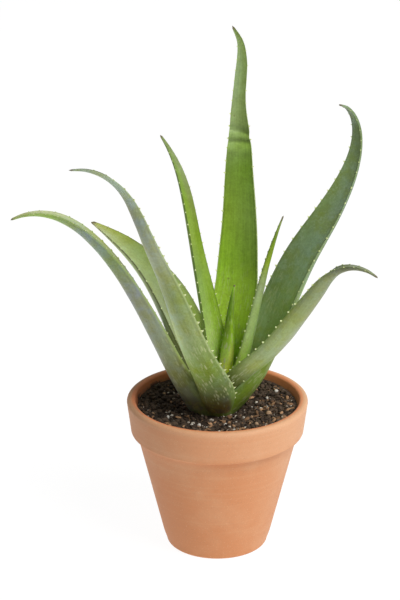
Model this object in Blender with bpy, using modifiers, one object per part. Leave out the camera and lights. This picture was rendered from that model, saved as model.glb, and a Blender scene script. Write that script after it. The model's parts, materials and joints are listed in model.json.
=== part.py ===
"""A potted aloe: nine toothed fleshy leaves round a short crown, rooted in soil, in a terracotta pot.

Metres, +Z up.  The origin is under the middle of the whole plant's outline, on the surface the pot
stands on.  The pot, soil and crown are turned shapes.  Each leaf is a loft between crescent sections
whose width, thickness and curl change from the clasping base to the tip.
"""

import math
import random
from collections import namedtuple

import bmesh
import bpy
from mathutils import Matrix, Vector

MM = 0.001
GAP = 0.3 * MM  # clearance between pieces that touch

# Where the pot's axis stands in the part's frame: the plant reaches further to the left.
POT_CENTRE = Vector((20.5, 3.4, 0.0)) * MM

# Pot
RIM_RADIUS = 76.0 * MM
POT_HEIGHT = 131.0 * MM
COLLAR_HEIGHT = 29.5 * MM
COLLAR_LOWER_RADIUS = 72.8 * MM
NECK_RADIUS = 68.0 * MM
FOOT_RADIUS = 43.0 * MM
FOOT_ROUNDING = 3.0 * MM
LIP_WALL = 8.0 * MM
BODY_WALL = 7.0 * MM
FLOOR_THICKNESS = 8.0 * MM
DRAIN_RADIUS = 7.0 * MM
POT_STEPS = 48

# Soil
SOIL_EDGE_HEIGHT = 117.5 * MM
SOIL_MOUND = 2.0 * MM  # how much higher the soil is round the crown
SOIL_STEPS = 48

# Crown and roots
CROWN_CENTRE = Vector((2.0, 8.0, 0.0)) * MM  # from the pot's axis
CROWN_TOP = 142.0 * MM
CROWN_BOTTOM = 72.0 * MM
CROWN_RADIUS = 9.0 * MM
CROWN_STEPS = 24
ROOT_RADIUS = 2.2 * MM
ROOT_COUNT = 6
ROOT_LENGTH = 58.0 * MM
ROOT_POINTS = 9

# Leaf lofts
LEAF_RINGS = 22
SECTION_SPANS = 6  # spans across each face of a leaf
MARGIN_FULLNESS = 0.6  # how quickly a leaf thickens inward from its margins
SMALLEST = 0.8 * MM  # least width and thickness, at a tip

# A leaf's seat is (bearing, distance from the crown's axis, height).  The other values are stations
# spaced evenly from base to tip, read with a smooth curve.  Bearings are degrees from +X; lean is
# degrees from upright, outward; sway is degrees sideways; twist turns the blade about its own line;
# curl is the degrees that the blade wraps round.
Leaf = namedtuple("Leaf", "name seat length lean bearing sway twist width thick curl colour")

LEAVES = (
    Leaf("leaf_centre_shoot", seat=(-90, 3, 131), length=101,
         lean=(3, 2, 4, 7), bearing=(-75, -75), sway=(18, 5, 2, 8), twist=(0, 0),
         width=(12, 11.5, 11, 8, 4.5, 1.5), thick=(4.5, 5, 4.5, 3.5, 2.5, 1), curl=(120, 105, 90, 70),
         colour=(0.28, 0.45, 0.10)),
    Leaf("leaf_upright_left", seat=(180, 5.4, 127), length=236,
         lean=(-0.5, 5, 9.5, 14.5, 33), bearing=(165, 161, 166), sway=(-20, 7, 9.5, -0.5, -6.5, 4.5),
         twist=(40, 40), width=(22.5, 19.5, 15, 10.5, 8.5, 1.5), thick=(6, 7.5, 6.5, 5, 1),
         curl=(95, 55, 50, 45, 40),
         colour=(0.30, 0.42, 0.16)),
    Leaf("leaf_narrow_right", seat=(-15, 8, 129), length=169,
         lean=(27, 14, 11, 14, 20), bearing=(-15, -8, -4), sway=(0, 0, 1), twist=(0, 0),
         width=(25, 19, 12, 6, 1), thick=(5, 6, 5.5, 4, 1), curl=(130, 70, 60, 50, 40),
         colour=(0.33, 0.42, 0.20)),
    Leaf("leaf_tallest", seat=(80, 13, 120), length=320,
         lean=(13, 13, 9, 6, 3, 8), bearing=(80, 83, 85),
         sway=(-5, -4, -4, -9, -2, -1, 1, 2, 0, 3, -4, 2, 39), twist=(0, 0),
         width=(42, 40.5, 39, 37, 33.5, 29, 24.5, 19.5, 11.5, 9, 1.5),
         thick=(7, 10, 9.5, 7.5, 4.5, 1), curl=(130, 65, 55, 50, 40),
         colour=(0.42, 0.50, 0.15)),
    Leaf("leaf_front_right", seat=(-50, 13, 121), length=219,
         lean=(4, 35.5, 42.5, 34, 34, 38.5, 67.5, 117), bearing=(-34, -32, -32),
         sway=(-1, 8, 7, -18, -1.5), twist=(0, 0),
         width=(34, 28.5, 25.5, 27, 27.5, 21.5, 7.5, 1), thick=(8, 11, 10.5, 8.5, 5, 1),
         curl=(130, 60, 50, 40, 40),
         colour=(0.34, 0.42, 0.20)),
    Leaf("leaf_tall_right", seat=(-30, 10, 117), length=304,
         lean=(41, 21, 23, 37, 16, -77), bearing=(-8, 24, 44), sway=(3, 4, -1, 3, -7),
         twist=(0, -22, -28, -20, 0),
         width=(42, 39, 33, 24, 12, 2), thick=(9, 11, 10, 8, 5, 1), curl=(150, 70, 55, 50, 45),
         colour=(0.20, 0.30, 0.13)),
    Leaf("leaf_front_left", seat=(250, 16, 118), length=293,
         lean=(30, 34, 20, 23, 26, 94), bearing=(235, 218, 200), sway=(21, -1, -5, -13), twist=(0, 0),
         width=(24, 35, 34, 31, 28, 23, 18, 15.5, 13, 7, 1), thick=(9, 11, 9, 7, 4.5, 1),
         curl=(130, 60, 45, 45, 40), colour=(0.27, 0.36, 0.19)),
    Leaf("leaf_back_left", seat=(165, 16, 118), length=193,
         lean=(14, 19.5, 26.5, 43, 61.5, 73.5), bearing=(165, 148, 142), sway=(1, -3, 0.5, -2), twist=(0, 0),
         width=(49.5, 52.5, 52.5, 43.5, 30.5, 19, 3), thick=(8, 9.5, 9, 6, 1), curl=(114, 69, 51, 50, 40),
         colour=(0.40, 0.45, 0.22)),
    Leaf("leaf_far_left", seat=(200, 20, 116), length=257,
         lean=(31, 24, 26, 34, 55, 112), bearing=(200, 194, 188), sway=(0, -2, 0, 2), twist=(0, 0),
         width=(38, 32, 28, 22, 15, 3), thick=(9, 10.5, 10, 8, 5, 1), curl=(130, 60, 50, 40, 30),
         colour=(0.30, 0.38, 0.20)),
)

# Loose bits that lie on the soil: bearing from the pot's axis, distance and size across (mm), pale or tan.
GRIT = (
    (-22, 46, 6.5, "tan"), (-35, 35, 4.5, "tan"), (30, 58, 4.2, "pale"), (23, 46, 3.6, "pale"),
    (248, 41, 4.4, "pale"), (240, 43, 3.6, "pale"), (281, 27, 4.0, "tan"), (199, 57, 4.2, "tan"),
    (209, 47, 3.8, "pale"), (150, 52, 4.6, "tan"), (75, 57, 4.8, "pale"), (-50, 50, 4.0, "tan"),
)
GRIT_SEED = 11

MATERIALS = {
    "terracotta": ((0.62, 0.24, 0.10), 0.85),
    "potting_soil": ((0.035, 0.025, 0.018), 0.95),
    "aloe_crown": ((0.22, 0.20, 0.10), 0.7),
    "aloe_root": ((0.45, 0.33, 0.18), 0.8),
    "grit_tan": ((0.55, 0.40, 0.24), 0.9),
    "grit_pale": ((0.80, 0.76, 0.68), 0.9),
}


def clear_scene():
    for obj in list(bpy.data.objects):
        bpy.data.objects.remove(obj, do_unlink=True)


def collection(name):
    made = bpy.data.collections.new(name)
    bpy.context.scene.collection.children.link(made)
    return made


def material(name, colour, roughness):
    made = bpy.data.materials.new(name)
    made.use_nodes = True
    shader = made.node_tree.nodes["Principled BSDF"]
    shader.inputs["Base Color"].default_value = (*colour, 1.0)
    shader.inputs["Roughness"].default_value = roughness
    shader.inputs["Metallic"].default_value = 0.0
    return made


def add_object(name, data, where, parent, look):
    obj = bpy.data.objects.new(name, data)
    where.objects.link(obj)
    obj.parent = parent
    data.materials.append(look)
    return obj


def shade_round(mesh, angle=35):
    mesh.shade_smooth()
    mesh.set_sharp_from_angle(angle=math.radians(angle))


def arc(centre_x, centre_z, radius, start, end, count):
    """Points of an arc in the X-Z plane, from one angle to the other, in degrees from +X."""
    points = []
    for step in range(count + 1):
        angle = math.radians(start + (end - start) * step / count)
        points.append((centre_x + radius * math.cos(angle), centre_z + radius * math.sin(angle)))
    return points


def turned(name, profile, closed, steps, where, parent, look):
    """A solid of revolution about its own Z axis, from (radius, height) points down its outer side."""
    mesh = bpy.data.meshes.new(name)
    edges = [(i, i + 1) for i in range(len(profile) - 1)]
    if closed:
        edges.append((len(profile) - 1, 0))
    mesh.from_pydata([(radius, 0.0, height) for radius, height in profile], edges, [])
    obj = add_object(name, mesh, where, parent, look)
    screw = obj.modifiers.new("Screw", "SCREW")
    screw.axis = "Z"
    screw.angle = math.tau
    screw.steps = steps
    screw.render_steps = steps
    screw.use_merge_vertices = True
    screw.merge_threshold = 0.0001
    screw.use_smooth_shade = True
    return obj


def pot_inner_radius(height):
    """The pot's inside radius, whose wall follows the tapering body."""
    rise = (height - FLOOR_THICKNESS) / (POT_HEIGHT - FLOOR_THICKNESS)
    bottom = FOOT_RADIUS - BODY_WALL + 2.0 * MM
    top = RIM_RADIUS - LIP_WALL
    return bottom + (top - bottom) * rise


def pot_profile():
    lip = LIP_WALL / 2
    shoulder = POT_HEIGHT - COLLAR_HEIGHT
    profile = arc(RIM_RADIUS - lip, POT_HEIGHT - lip, lip, 90, 0, 4)
    profile += arc(COLLAR_LOWER_RADIUS - 2.0 * MM, shoulder + 2.0 * MM, 2.0 * MM, 0, -90, 3)
    profile.append((NECK_RADIUS, shoulder - 0.8 * MM))
    profile += arc(FOOT_RADIUS - FOOT_ROUNDING, FOOT_ROUNDING, FOOT_ROUNDING, 0, -90, 3)
    profile.append((DRAIN_RADIUS, 0.0))
    profile.append((DRAIN_RADIUS, FLOOR_THICKNESS))
    profile.append((pot_inner_radius(FLOOR_THICKNESS) - 4.0 * MM, FLOOR_THICKNESS))
    profile.append((pot_inner_radius(FLOOR_THICKNESS + 4.0 * MM), FLOOR_THICKNESS + 4.0 * MM))
    profile += arc(RIM_RADIUS - lip, POT_HEIGHT - lip, lip, 180, 90, 4)[:-1]
    return profile


def soil_height(radius):
    """Height of the soil's surface at a distance from the pot's axis."""
    edge = pot_inner_radius(SOIL_EDGE_HEIGHT)
    return SOIL_EDGE_HEIGHT + SOIL_MOUND * (1 - (radius / edge) ** 2)


def soil_profile():
    bottom = FLOOR_THICKNESS + GAP
    edge = pot_inner_radius(SOIL_EDGE_HEIGHT) - GAP
    profile = [(edge * part / 4, soil_height(edge * part / 4)) for part in range(5)]
    profile.append((pot_inner_radius(FLOOR_THICKNESS + 4.0 * MM) - GAP, FLOOR_THICKNESS + 4.2 * MM))
    profile.append((pot_inner_radius(FLOOR_THICKNESS) - 4.0 * MM - GAP, bottom))
    profile.append((0.0, bottom))
    return profile


def crown_profile(grow):
    """The crown: a narrow growing point inside the rosette, over an older woody stock in the soil."""
    top = CROWN_TOP + grow
    bottom = CROWN_BOTTOM - grow
    points = [
        (0.0, top),
        (2.5 * MM + grow, top - 2.0 * MM),
        (4.5 * MM + grow, 128.0 * MM),
        (7.5 * MM + grow, 119.0 * MM),
        (CROWN_RADIUS + grow, 110.0 * MM),
        (CROWN_RADIUS + grow, 92.0 * MM),
        (0.8 * CROWN_RADIUS + grow, 78.0 * MM),
        (0.4 * CROWN_RADIUS + grow, bottom),
        (0.0, bottom),
    ]
    return points


def along(stations, place):
    """The value at a place from 0 to 1, on a smooth curve through evenly spaced stations."""
    last = len(stations) - 1
    scaled = min(max(place, 0.0), 1.0) * last
    index = min(int(scaled), last - 1)
    part = scaled - index
    here, after = stations[index], stations[index + 1]
    before = stations[index - 1] if index > 0 else 2 * here - after
    beyond = stations[index + 2] if index + 2 <= last else 2 * after - here
    slope = after - before
    bend = 2 * before - 5 * here + 4 * after - beyond
    twist = 3 * here - before - 3 * after + beyond
    return here + 0.5 * part * (slope + part * (bend + part * twist))


def leaf_axes(leaf, place):
    """The growing direction, the sideways direction and the inner face's normal at a place."""
    lean = math.radians(along(leaf.lean, place))
    bearing = math.radians(along(leaf.bearing, place))
    sway = math.radians(along(leaf.sway, place))
    outward = Vector((math.cos(bearing), math.sin(bearing), 0.0))
    sideways = Vector((-math.sin(bearing), math.cos(bearing), 0.0))
    upward = Vector((0.0, 0.0, 1.0))
    growing = math.cos(sway) * (math.sin(lean) * outward + math.cos(lean) * upward)
    growing += math.sin(sway) * sideways
    inner = math.sin(lean) * upward - math.cos(lean) * outward
    inner = Matrix.Rotation(-math.radians(along(leaf.twist, place)), 3, growing) @ inner
    return growing, growing.cross(inner), inner


def leaf_section(width, thick, curl, grow):
    """A crescent: (across, inward) points over the inner face and back round the outer face."""
    radius = width / curl
    half = curl / 2 + grow / radius
    inner_face = []
    outer_face = []
    for step in range(SECTION_SPANS + 1):
        side = 2 * step / SECTION_SPANS - 1
        angle = half * side
        at_margin = step in (0, SECTION_SPANS)
        near = radius if at_margin else radius - grow
        inner_face.append((near * math.sin(angle), radius - near * math.cos(angle)))
        if not at_margin:
            far = radius + thick * (1 - side * side) ** MARGIN_FULLNESS + grow
            outer_face.append((far * math.sin(angle), radius - far * math.cos(angle)))
    points = inner_face + outer_face[::-1]
    return [(across, inward + thick / 2) for across, inward in points]


def leaf_mesh(name, leaf, grow=0.0):
    """The loft of one leaf; a larger copy, grown all over, cuts the room that it needs."""
    bearing, distance, height = leaf.seat
    turn = Matrix.Rotation(math.radians(bearing), 3, "Z")
    centre = CROWN_CENTRE + (turn @ Vector((distance, 0.0, 0.0)) + Vector((0.0, 0.0, height))) * MM
    stride = leaf.length * MM / LEAF_RINGS
    mould = bmesh.new()
    rings = []
    for ring in range(LEAF_RINGS):
        place = ring / LEAF_RINGS
        growing, sideways, inner = leaf_axes(leaf, place)
        width = max(along(leaf.width, place) * MM, SMALLEST)
        thick = max(along(leaf.thick, place) * MM, SMALLEST)
        curl = math.radians(along(leaf.curl, place))
        foot = growing * (-grow if ring == 0 else 0.0)
        rings.append([
            mould.verts.new(centre + foot + across * sideways + inward * inner)
            for across, inward in leaf_section(width, thick, curl, grow)
        ])
        centre = centre + leaf_axes(leaf, place + 0.5 / LEAF_RINGS)[0] * stride
    tip = mould.verts.new(centre + grow * growing)
    count = len(rings[0])
    for lower, upper in zip(rings, rings[1:]):
        for index in range(count):
            after = (index + 1) % count
            mould.faces.new((lower[index], lower[after], upper[after], upper[index]))
    for index in range(count):
        mould.faces.new((rings[-1][index], rings[-1][(index + 1) % count], tip))
    mould.faces.new(rings[0][::-1])
    bmesh.ops.triangulate(mould, faces=mould.faces)
    bmesh.ops.recalc_face_normals(mould, faces=mould.faces)
    mesh = bpy.data.meshes.new(name)
    mould.to_mesh(mesh)
    mould.free()
    return mesh


def root_mesh(name, index, grow):
    """One fleshy root: a tapering tube that bends outward and down from the crown's stock."""
    bearing = math.tau * index / ROOT_COUNT + 0.3
    start_height = CROWN_BOTTOM + (22.0 - 2.5 * index) * MM
    curve = bpy.data.curves.new(name, "CURVE")
    curve.dimensions = "3D"
    curve.bevel_depth = ROOT_RADIUS + grow
    curve.bevel_resolution = 1
    curve.use_fill_caps = True
    spline = curve.splines.new("POLY")
    spline.points.add(ROOT_POINTS - 1)
    for step, point in enumerate(spline.points):
        part = step / (ROOT_POINTS - 1) * (1 + grow / ROOT_LENGTH)
        reach = 0.55 * CROWN_RADIUS + 0.52 * ROOT_LENGTH * math.sin(0.5 * math.pi * part)
        angle = bearing + 0.35 * math.sin(3.0 * part + index)
        drop = 0.72 * ROOT_LENGTH * part ** 1.6
        position = CROWN_CENTRE + Vector((reach * math.cos(angle), reach * math.sin(angle), 0.0))
        point.co = (position.x, position.y, start_height - drop, 1.0)
        point.radius = 1.0 - 0.6 * part
    guide = bpy.data.objects.new(name, curve)
    bpy.context.scene.collection.objects.link(guide)
    graph = bpy.context.evaluated_depsgraph_get()
    mesh = bpy.data.meshes.new_from_object(guide.evaluated_get(graph))
    bpy.data.objects.remove(guide, do_unlink=True)
    weld_and_face_outward(mesh)
    mesh.name = name
    return mesh


def weld_and_face_outward(mesh):
    mould = bmesh.new()
    mould.from_mesh(mesh)
    bmesh.ops.remove_doubles(mould, verts=mould.verts, dist=0.00001)
    bmesh.ops.recalc_face_normals(mould, faces=mould.faces)
    mould.to_mesh(mesh)
    mould.free()


def grit_mesh(name, bearing, distance, size, chance):
    """An angular crumb that lies on the soil."""
    mould = bmesh.new()
    bmesh.ops.create_icosphere(mould, subdivisions=1, radius=size * MM / 2)
    spin = Matrix.Rotation(chance.uniform(0, math.tau), 3, "Z")
    flatness = chance.uniform(0.6, 0.8)
    for vert in mould.verts:
        vert.co *= chance.uniform(0.8, 1.1)
        vert.co = spin @ Vector((vert.co.x, 0.8 * vert.co.y, flatness * vert.co.z))
    turn = math.radians(bearing)
    place = Vector((distance * MM * math.cos(turn), distance * MM * math.sin(turn), 0.0))
    for vert in mould.verts:
        vert.co += place
    clearance = min(vert.co.z - soil_height(vert.co.xy.length) for vert in mould.verts)
    for vert in mould.verts:
        vert.co.z += GAP - clearance
    bmesh.ops.recalc_face_normals(mould, faces=mould.faces)
    mesh = bpy.data.meshes.new(name)
    mould.to_mesh(mesh)
    mould.free()
    return mesh


def as_cutter(obj):
    obj.hide_render = True
    obj.display_type = "WIRE"
    return obj


def cut(obj, cutters):
    for cutter in cutters:
        modifier = obj.modifiers.new("Room for " + cutter.name, "BOOLEAN")
        modifier.operation = "DIFFERENCE"
        modifier.solver = "EXACT"
        modifier.object = cutter


def bodies_of(mould):
    """The mesh's separate bodies, as lists of vertices, largest first."""
    waiting = set(mould.verts)
    bodies = []
    while waiting:
        body = [waiting.pop()]
        for vert in body:
            for edge in vert.link_edges:
                other = edge.other_vert(vert)
                if other in waiting:
                    waiting.remove(other)
                    body.append(other)
        bodies.append(body)
    return sorted(bodies, key=len, reverse=True)


def keep_main_body(obj):
    """Makes the cuts final and drops any sliver that they left beside the leaf."""
    bpy.context.view_layer.update()
    graph = bpy.context.evaluated_depsgraph_get()
    mesh = bpy.data.meshes.new_from_object(obj.evaluated_get(graph))
    obj.modifiers.clear()
    mould = bmesh.new()
    mould.from_mesh(mesh)
    for body in bodies_of(mould)[1:]:
        bmesh.ops.delete(mould, geom=body, context="VERTS")
    mould.to_mesh(mesh)
    mould.free()
    obj.data = mesh


def build():
    clear_scene()
    parts = collection("potted_aloe")
    guides = collection("cutters")
    looks = {name: material(name, *values) for name, values in MATERIALS.items()}

    planter = bpy.data.objects.new("planter_centre", None)
    parts.objects.link(planter)
    planter.location = POT_CENTRE
    crown = bpy.data.objects.new("crown_centre", None)
    parts.objects.link(crown)
    crown.parent = planter
    crown.location = CROWN_CENTRE

    turned("pot", pot_profile(), True, POT_STEPS, parts, planter, looks["terracotta"])
    soil = turned("soil", soil_profile(), False, SOIL_STEPS, parts, planter, looks["potting_soil"])
    turned("stem", crown_profile(0.0), False, CROWN_STEPS, parts, crown, looks["aloe_crown"])
    crown_room = as_cutter(
        turned("stem_room", crown_profile(GAP), False, CROWN_STEPS, guides, crown, looks["aloe_crown"]))

    soil_cutters = [crown_room]
    inner_leaves = [crown_room]
    for leaf in LEAVES:
        look = material(leaf.name, leaf.colour, 0.5)
        obj = add_object(leaf.name, leaf_mesh(leaf.name, leaf), parts, planter, look)
        cut(obj, inner_leaves)
        keep_main_body(obj)
        shade_round(obj.data)
        room_name = leaf.name + "_room"
        room = as_cutter(add_object(room_name, leaf_mesh(room_name, leaf, GAP), guides, planter, look))
        inner_leaves.append(room)
        soil_cutters.append(room)

    for index in range(ROOT_COUNT):
        name = f"root_{index + 1}"
        root = add_object(name, root_mesh(name, index, 0.0), parts, planter, looks["aloe_root"])
        shade_round(root.data)
        cut(root, [crown_room])
        room_name = name + "_room"
        room = add_object(room_name, root_mesh(room_name, index, GAP), guides, planter, looks["aloe_root"])
        soil_cutters.append(as_cutter(room))
    cut(soil, soil_cutters)

    chance = random.Random(GRIT_SEED)
    for index, (bearing, distance, size, tone) in enumerate(GRIT):
        name = f"grit_{index + 1}"
        mesh = grit_mesh(name, bearing, distance, size, chance)
        add_object(name, mesh, parts, planter, looks["grit_" + tone])


build()
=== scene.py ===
"""The looks of a potted aloe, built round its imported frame.

Metres, +Z up, in the frame's own axes.  The pot and soil are turned shapes, grown ring by ring.  Each
leaf is a tube of crescent rings that follows the same line, width, thickness and curl as the frame's
leaf.  Its skin is painted along and across the leaf through an attribute named leaf_place.
"""

import json
import math
import random
from collections import namedtuple

import bmesh
import bpy
from mathutils import Matrix, Vector, noise
from mathutils.bvhtree import BVHTree

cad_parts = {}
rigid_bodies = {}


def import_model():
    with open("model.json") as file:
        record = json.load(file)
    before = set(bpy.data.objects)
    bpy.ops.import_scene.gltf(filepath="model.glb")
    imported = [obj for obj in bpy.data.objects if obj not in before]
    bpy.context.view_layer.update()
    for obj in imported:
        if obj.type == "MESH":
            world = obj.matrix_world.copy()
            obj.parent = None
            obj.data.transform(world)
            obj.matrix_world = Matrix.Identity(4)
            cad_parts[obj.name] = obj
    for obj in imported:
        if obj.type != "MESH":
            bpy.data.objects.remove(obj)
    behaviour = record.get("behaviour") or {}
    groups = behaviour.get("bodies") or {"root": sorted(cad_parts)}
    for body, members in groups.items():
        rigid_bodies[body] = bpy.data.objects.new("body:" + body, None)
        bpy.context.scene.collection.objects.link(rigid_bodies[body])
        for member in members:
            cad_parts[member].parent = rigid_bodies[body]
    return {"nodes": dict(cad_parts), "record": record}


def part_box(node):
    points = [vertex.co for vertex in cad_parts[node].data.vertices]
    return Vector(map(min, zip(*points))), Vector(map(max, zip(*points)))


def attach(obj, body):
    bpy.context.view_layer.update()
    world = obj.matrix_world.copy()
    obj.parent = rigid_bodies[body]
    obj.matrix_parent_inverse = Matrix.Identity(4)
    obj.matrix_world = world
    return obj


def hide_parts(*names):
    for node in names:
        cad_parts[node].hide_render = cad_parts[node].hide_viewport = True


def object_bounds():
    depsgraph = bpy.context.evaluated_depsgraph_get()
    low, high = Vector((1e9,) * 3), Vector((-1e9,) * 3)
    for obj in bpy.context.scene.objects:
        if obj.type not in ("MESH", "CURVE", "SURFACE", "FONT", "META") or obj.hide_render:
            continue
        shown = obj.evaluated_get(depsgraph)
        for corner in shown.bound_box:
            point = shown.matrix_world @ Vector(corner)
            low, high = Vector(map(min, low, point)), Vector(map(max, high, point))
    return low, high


for startup_object in list(bpy.data.objects):
    bpy.data.objects.remove(startup_object)
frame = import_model()
FRAME_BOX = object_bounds()

bl_info = {
    "name": "Potted Aloe",
    "version": (1, 0, 0),
    "blender": (4, 5, 0),
    "location": "3D View > Sidebar > Aloe",
    "description": "Models a toothed aloe in a terracotta pot of soil",
    "category": "Object",
}

MM = 0.001
TOUCH = 0.1 * MM  # points this near count as touching
BODY = "root"
UP = Vector((0.0, 0.0, 1.0))


def axis_through(node):
    """Where an upright line through the middle of a frame node meets the ground."""
    low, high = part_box(node)
    return Vector(((low.x + high.x) / 2, (low.y + high.y) / 2, 0.0))


def nodes_of(kind):
    return sorted(name for name in frame["nodes"] if name.startswith(kind))


# Places and slots read from the frame
POT_LOW, POT_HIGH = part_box("pot")
POT_AXIS = axis_through("pot")
RIM_RADIUS = (POT_HIGH.x - POT_LOW.x) / 2
POT_HEIGHT = POT_HIGH.z
CROWN_AXIS = axis_through("stem")
SOIL_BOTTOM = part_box("soil")[0].z
LEAF_NODES = nodes_of("leaf_")
GRIT_NODES = nodes_of("grit_")
ROOT_NODES = nodes_of("root_")
SLOTS = {row["node"]: row["material_slot"] for row in frame["record"]["subparts"]}

# Pot: its measures, then the radii of its rounded edges
COLLAR_HEIGHT = 29.5 * MM
SHOULDER_HEIGHT = POT_HEIGHT - COLLAR_HEIGHT
COLLAR_LOWER_RADIUS = 72.8 * MM
NECK_RADIUS = 68.0 * MM
NECK_FILLET = ((-0.4, -2.4), (0.3, -0.5), (1.2, 0.0))  # mm out from the neck and up from the shoulder
FOOT_RADIUS = 43.0 * MM
LIP_WALL = 7.2 * MM
BODY_WALL = 7.0 * MM
INNER_FLARE = 2.0 * MM  # how much wider the inside is at the floor than the foot's wall leaves it
FLOOR_THICKNESS = 8.0 * MM
DRAIN_RADIUS = 7.0 * MM
FLOOR_RING = 20.0 * MM  # the ring about the drain hole, on both faces of the floor and under the soil
FOOT_RING = 32.0 * MM
WALL_RISES = 12
FOOT_EDGE = 3.0 * MM
COLLAR_EDGE = 2.0 * MM
INNER_LIP_EDGE = 2.4 * MM
FLOOR_EDGE = 4.0 * MM
DRAIN_EDGE = 1.0 * MM

# Soil
SOIL_EDGE_HEIGHT = 124.6 * MM
SOIL_DISH = 5.4 * MM
SOIL_LUMPS = ((0.9, 70.0), (0.55, 230.0), (0.35, 620.0))  # height in mm and fineness
SOIL_SETTLING = 0.2 * MM
SOIL_GAP = 0.4 * MM  # between the soil and the pot's wall
WALL_CLEARANCE = 1.5 * MM  # between the loose bits and the soil's edge
SOIL_LEVELS = 8
SOIL_RINGS = 64

# Tones of the finishes, red, green and blue
CLAY_PIT = (0.36, 0.14, 0.07)
CLAY_MOTE = (0.92, 0.72, 0.52)
INNER_WALL_TINT = (1.0, 0.70, 0.56)
# Dark peat smudges together with painted shade on the inner wall's left and back
PEAT_SMUDGE_AND_SHADE = (0.045, 0.024, 0.014)
BARK_FLECK = (0.42, 0.27, 0.15)
PERLITE_FLECK = (0.66, 0.60, 0.52)
BARK = ((0.10, 0.048, 0.022), (0.52, 0.30, 0.16))
PERLITE = ((0.30, 0.24, 0.18), (0.80, 0.74, 0.64))
TAN_GRIT = ((0.30, 0.17, 0.09), (0.66, 0.46, 0.29))
PALE_GRIT = ((0.50, 0.44, 0.36), (0.88, 0.85, 0.78))
COOL_TINT = (0.90, 0.97, 1.30)
WARM_TINT = (1.08, 1.08, 0.72)
WAX_BLOOM = (0.32, 0.36, 0.29)
PALE_SPOT = (0.56, 0.60, 0.32)
BASE_STAIN = (0.090, 0.070, 0.066)
YOUNG_BASE = (0.24, 0.40, 0.06)
YOUNG_HEM = (0.24, 0.40, 0.07)
SCAR = (0.13, 0.10, 0.04)
DRY_TIP = (0.17, 0.13, 0.08)
TOOTH_ROOT = (0.50, 0.62, 0.20)
TOOTH_PALE = (0.90, 0.93, 0.55)
TOOTH_TIP = (0.30, 0.20, 0.08)
CROWN_BARK = ((0.10, 0.11, 0.03), (0.30, 0.34, 0.12))
ROOT_FIBRE = ((0.30, 0.19, 0.09), (0.58, 0.44, 0.26))

# Leaves: stations are spaced evenly from base to tip.  Bearings are degrees from +X, lean is degrees
# from upright, sway is degrees sideways, twist turns the blade about its own line and curl is the
# degrees that it wraps round.  Widths and thicknesses are in mm.
Leaf = namedtuple("Leaf", "node seat length lean bearing sway twist width thick curl")
LEAVES = (
    Leaf("leaf_centre_shoot", seat=(-90, 3, 131), length=101,
         lean=(3, 2, 4, 7), bearing=(-75, -75), sway=(18, 5, 2, 8), twist=(0, 0),
         width=(12, 11.5, 11, 8, 4.5, 1.5), thick=(4.5, 5, 4.5, 3.5, 2.5, 1), curl=(120, 105, 90, 70)),
    Leaf("leaf_upright_left", seat=(180, 5.4, 127), length=236,
         lean=(-0.5, 5, 9.5, 14.5, 33), bearing=(165, 161, 166), sway=(-20, 7, 9.5, -0.5, -6.5, 4.5),
         twist=(40, 40), width=(22.5, 19.5, 15, 10.5, 8.5, 1.5), thick=(6, 7.5, 6.5, 5, 1),
         curl=(95, 55, 50, 45, 40)),
    Leaf("leaf_narrow_right", seat=(-15, 8, 129), length=169,
         lean=(27, 14, 11, 14, 20), bearing=(-15, -8, -4), sway=(0, 0, 1), twist=(0, 0),
         width=(25, 19, 12, 6, 1), thick=(5, 6, 5.5, 4, 1), curl=(130, 70, 60, 50, 40)),
    Leaf("leaf_tallest", seat=(80, 13, 120), length=320,
         lean=(13, 13, 9, 6, 3, 8), bearing=(80, 83, 85),
         sway=(-5, -4, -4, -9, -2, -1, 1, 2, 0, 3, -4, 2, 39), twist=(0, 0),
         width=(42, 40.5, 39, 37, 33.5, 29, 24.5, 19.5, 11.5, 9, 1.5),
         thick=(7, 10, 9.5, 7.5, 4.5, 1), curl=(130, 65, 55, 50, 40)),
    Leaf("leaf_front_right", seat=(-50, 13, 121), length=219,
         lean=(4, 35.5, 42.5, 34, 34, 38.5, 67.5, 117), bearing=(-34, -32, -32),
         sway=(-1, 8, 7, -18, -1.5), twist=(0, 0),
         width=(34, 28.5, 25.5, 27, 27.5, 21.5, 7.5, 1), thick=(8, 11, 10.5, 8.5, 5, 1),
         curl=(130, 60, 50, 40, 40)),
    Leaf("leaf_tall_right", seat=(-30, 10, 117), length=304,
         lean=(41, 21, 23, 37, 16, -77), bearing=(-8, 24, 44), sway=(3, 4, -1, 3, -7),
         twist=(0, -22, -28, -20, 0),
         width=(42, 39, 33, 24, 12, 2), thick=(9, 11, 10, 8, 5, 1), curl=(150, 70, 55, 50, 45)),
    Leaf("leaf_front_left", seat=(250, 16, 118), length=293,
         lean=(30, 34, 20, 23, 26, 94), bearing=(235, 218, 200), sway=(21, -1, -5, -13), twist=(0, 0),
         width=(24, 35, 34, 31, 28, 23, 18, 15.5, 13, 7, 1), thick=(9, 11, 9, 7, 4.5, 1),
         curl=(130, 60, 45, 45, 40)),
    Leaf("leaf_back_left", seat=(165, 16, 118), length=193,
         lean=(14, 19.5, 26.5, 43, 61.5, 73.5), bearing=(165, 148, 142), sway=(1, -3, 0.5, -2), twist=(0, 0),
         width=(49.5, 52.5, 52.5, 43.5, 30.5, 19, 3), thick=(8, 9.5, 9, 6, 1), curl=(114, 69, 51, 50, 40)),
    Leaf("leaf_far_left", seat=(200, 20, 116), length=257,
         lean=(31, 24, 26, 34, 55, 112), bearing=(200, 194, 188), sway=(0, -2, 0, 2), twist=(0, 0),
         width=(38, 32, 28, 22, 15, 3), thick=(9, 10.5, 10, 8, 5, 1), curl=(130, 60, 50, 40, 30)),
)
FRAME_STRIDES = 22  # the frame's leaves grow in this many straight strides
SMALLEST = 0.8 * MM  # a leaf's least width and thickness
FOLDED = "leaf_tallest"
FOLD_AT = 222.8  # mm from the folded leaf's base to its crease
PAD_HEIGHT = 7.4  # mm from the crease to the middle of the pad's upper edge
PAD_SLANT = 2.6  # mm that the edge falls from there to the margin
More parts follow.
